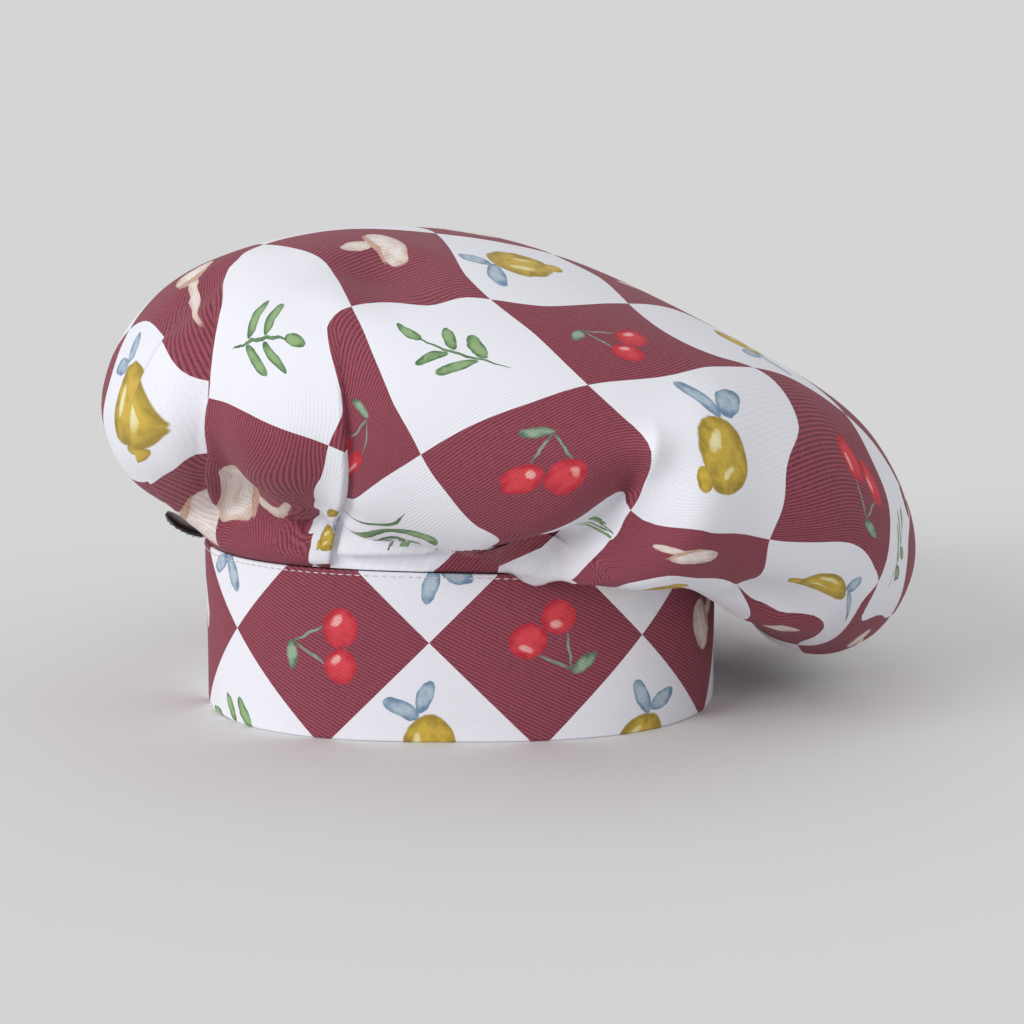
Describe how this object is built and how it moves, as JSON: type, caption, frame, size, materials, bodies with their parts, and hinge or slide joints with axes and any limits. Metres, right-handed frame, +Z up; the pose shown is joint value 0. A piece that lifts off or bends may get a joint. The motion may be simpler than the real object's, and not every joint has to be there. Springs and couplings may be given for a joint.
{
  "type": "chef hat",
  "caption": "Soft chef hat: a wide checked cloth crown gathered onto a straight headband, slumped to its right, with an end of black hook tape at the left of the seam.",
  "frame": {"origin": "centre of the hat's bounding box, in the plane that the band's rim stands on", "axes": "+Z up out of the crown; -Y is the front of the hat; +X is to the right of someone who looks at the front, the side to which the crown slumps"},
  "size_m": [0.2872, 0.3084, 0.1658],
  "materials": {
    "crown_cloth": "matt cotton twill, printed in a check of maroon and white",
    "band_cloth": "matt cotton twill, printed in a check of maroon and white, topstitched in white",
    "hook_tape": "woven nylon tape with moulded hooks, black, semi-gloss"
  },
  "bodies": {
    "root": {"headband": "band_cloth", "crown": "crown_cloth", "closure_tab": "hook_tape"}
  },
  "joints": []
}
